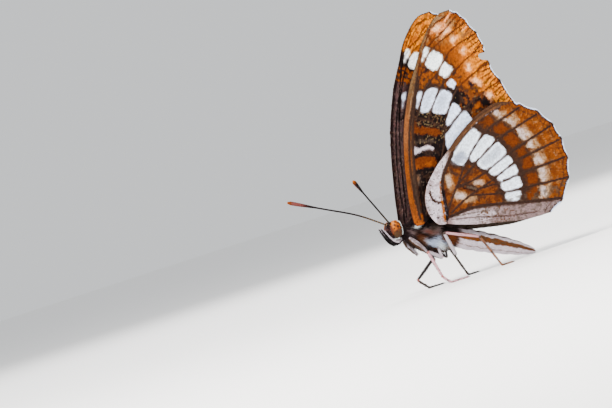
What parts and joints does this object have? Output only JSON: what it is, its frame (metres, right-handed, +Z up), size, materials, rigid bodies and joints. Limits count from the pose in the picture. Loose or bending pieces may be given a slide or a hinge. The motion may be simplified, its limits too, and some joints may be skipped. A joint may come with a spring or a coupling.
{
  "type": "lorquin's admiral butterfly",
  "caption": "Still life-size butterfly with closed wings: orange, white and brown undersides, bright eyes, clubbed feelers, resting on its feet and the tip of its abdomen.",
  "frame": {"origin": "on the floor, under the middle of the butterfly's box", "axes": "-X the way the head points, -Y the butterfly's left side, +Z up from the floor"},
  "size_m": [0.0402, 0.02, 0.0384],
  "materials": {
    "body_fur": "matte",
    "abdomen_scales": "matte",
    "eye": "gloss",
    "antenna": "satin",
    "palp": "matte",
    "forewing_scales": "matte",
    "hindwing_scales": "matte",
    "foreleg": "matte",
    "leg": "satin"
  },
  "bodies": {
    "root": {"thorax": "body_fur", "head": "body_fur", "abdomen": "abdomen_scales", "eye_left": "eye", "eye_right": "eye", "antenna_left": "antenna", "antenna_right": "antenna", "palp_left": "palp", "palp_right": "palp", "forewing_left": "forewing_scales", "forewing_right": "forewing_scales", "hindwing_left": "hindwing_scales", "hindwing_right": "hindwing_scales", "foreleg_left": "foreleg", "foreleg_right": "foreleg", "midleg_left_femur": "leg", "midleg_left_tibia": "leg", "midleg_left_tarsus": "leg", "midleg_right_femur": "leg", "midleg_right_tibia": "leg", "midleg_right_tarsus": "leg", "hindleg_left_femur": "leg", "hindleg_left_tibia": "leg", "hindleg_left_tarsus": "leg", "hindleg_right_femur": "leg", "hindleg_right_tibia": "leg", "hindleg_right_tarsus": "leg"}
  },
  "joints": []
}
